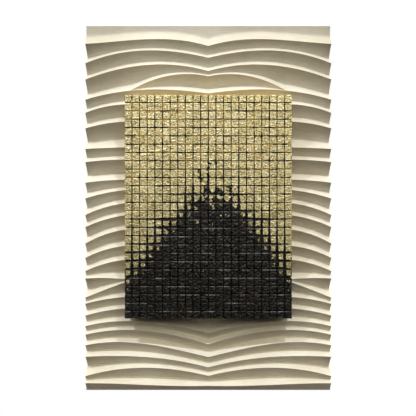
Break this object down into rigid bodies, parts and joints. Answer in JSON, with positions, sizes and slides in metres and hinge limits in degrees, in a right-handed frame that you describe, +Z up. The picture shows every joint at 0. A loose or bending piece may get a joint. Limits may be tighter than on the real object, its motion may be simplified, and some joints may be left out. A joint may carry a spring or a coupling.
{
  "type": "wall relief",
  "caption": "Tall wall relief: a cream board carved with sharp wave ridges, with a gilded and black tile mosaic standing off in front of its middle.",
  "frame": {"origin": "middle of the board's flat back, where it meets the wall", "axes": "+Z up the wall, +Y into the wall, so the carved face looks along -Y, and +X to the viewer's right"},
  "size_m": [0.67, 0.0779, 1],
  "materials": {
    "cream_paint": "matt cream paint on carved fibreboard",
    "block_sides": "dark stain, with leaf carried round from the face",
    "dark_mortar": "dark, rough setting mortar",
    "gold_leaf": "crumpled gold leaf over split black tile",
    "black_tile": "split black tile, satin"
  },
  "bodies": {
    "root": {"wave_board": "cream_paint", "backing_block": "block_sides", "setting_bed": "dark_mortar", "gilded_tiles": "gold_leaf", "black_tiles": "black_tile"}
  },
  "joints": []
}
